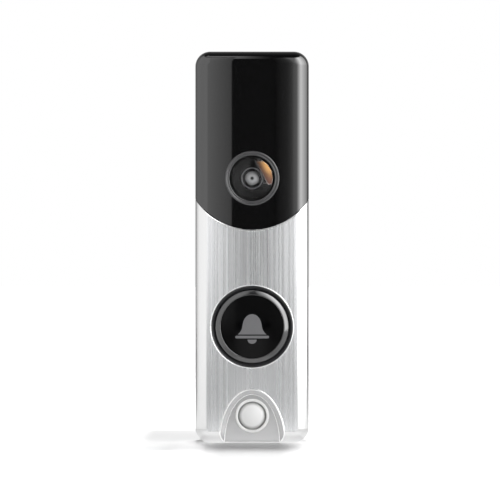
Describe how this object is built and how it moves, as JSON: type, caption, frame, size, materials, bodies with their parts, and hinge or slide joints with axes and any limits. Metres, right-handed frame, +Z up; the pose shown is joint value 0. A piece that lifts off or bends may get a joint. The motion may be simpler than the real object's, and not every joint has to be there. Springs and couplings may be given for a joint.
{
  "type": "video doorbell",
  "caption": "Slim upright video doorbell with a gloss black camera window over a brushed metal cover, a round lit push button, a motion lens in an arch recess and a wall bracket.",
  "frame": {"origin": "middle of the foot: the centre of the bounding box's bottom face, on the surface that the doorbell stands on", "axes": "+Z up along the body, -Y out of the front face, +Y towards the wall, +X to the right as seen from the front"},
  "size_m": [0.038, 0.0226, 0.131],
  "materials": {
    "satin_nickel": "vertical brushed satin nickel, clear lacquered",
    "gloss_black_window": "gloss black plastic that passes infrared",
    "smoked_trim": "dark grey, semi-gloss",
    "clear_dome": "clear moulded polycarbonate",
    "matt_black": "matt black",
    "coated_glass": "coated optical glass",
    "silicon": "bare image sensor",
    "circuit_board": "green solder mask over glass-epoxy board",
    "zinc_steel": "zinc-plated steel",
    "polyimide_flex": "amber polyimide flexible circuit",
    "connector_plastic": "natural nylon",
    "led_epoxy": "clear epoxy package",
    "brass": "turned brass",
    "tinned_steel": "tinned sheet steel",
    "chip_epoxy": "moulded chip package",
    "ferrite": "ferrite",
    "aluminium_can": "aluminium can",
    "cell_wrap": "blue cell sleeve",
    "speaker_frame": "speaker cone and frame",
    "black_rubber": "black silicone rubber",
    "button_black": "gloss black plastic",
    "smoked_light_ring": "smoked translucent acrylic",
    "clear_acrylic": "clear acrylic light guide",
    "white_ring": "pale gloss plastic",
    "milky_lens": "milky polyethylene lens",
    "nickel_can": "nickel-plated can",
    "housing_black": "fine-textured black plastic",
    "nickel_plate": "nickel-plated steel",
    "bracket_black": "fine-textured black plastic"
  },
  "bodies": {
    "body": {"front_cover": "satin_nickel", "camera_window": "gloss_black_window", "camera_bezel": "smoked_trim", "camera_dome": "clear_dome", "camera_baffle": "matt_black", "lens_barrel": "matt_black", "lens_front": "coated_glass", "inner_lenses": "coated_glass", "lens_holder": "matt_black", "image_sensor": "silicon", "camera_board": "circuit_board", "camera_screws": "zinc_steel", "camera_ribbon": "polyimide_flex", "ribbon_connectors": "connector_plastic", "ir_leds": "led_epoxy", "light_sensor": "led_epoxy", "antenna": "brass", "main_board": "circuit_board", "board_screws": "zinc_steel", "shield_can": "tinned_steel", "processor": "chip_epoxy", "wifi_module": "tinned_steel", "power_inductor": "ferrite", "power_capacitors": "aluminium_can", "backup_cell": "cell_wrap", "speaker_box": "matt_black", "speaker_driver": "speaker_frame", "speaker_gasket": "black_rubber", "microphone": "tinned_steel", "microphone_gasket": "black_rubber", "button_bezel": "smoked_trim", "button_seal": "black_rubber", "button_retainer": "matt_black", "retainer_screws": "zinc_steel", "light_guide": "clear_acrylic", "button_leds": "led_epoxy", "switch_body": "matt_black", "pir_ring": "white_ring", "pir_lens": "milky_lens", "pir_sensor": "nickel_can", "rear_housing": "housing_black", "housing_gasket": "black_rubber", "housing_screws": "zinc_steel", "terminal_posts": "brass", "terminal_plates": "nickel_plate", "terminal_screws": "nickel_plate", "wall_bracket": "bracket_black", "bracket_insert": "brass", "security_screw": "zinc_steel"},
    "button": {"button_cap": "button_black", "light_ring": "smoked_light_ring"},
    "plunger": {"switch_plunger": "connector_plastic"}
  },
  "joints": [
    {"name": "button_press", "type": "slide", "parent": "body", "child": "button", "axis": [0, 1, 0], "range_m": [0, 0.0006], "stiffness_N_per_m": 4000, "springref_m": -0.0002},
    {"name": "switch_press", "type": "slide", "parent": "body", "child": "plunger", "axis": [0, 1, 0], "range_m": [0, 0.0006]}
  ],
  "couplings": [
    {"joint": "switch_press", "follows": "button_press", "ratio": 1}
  ]
}
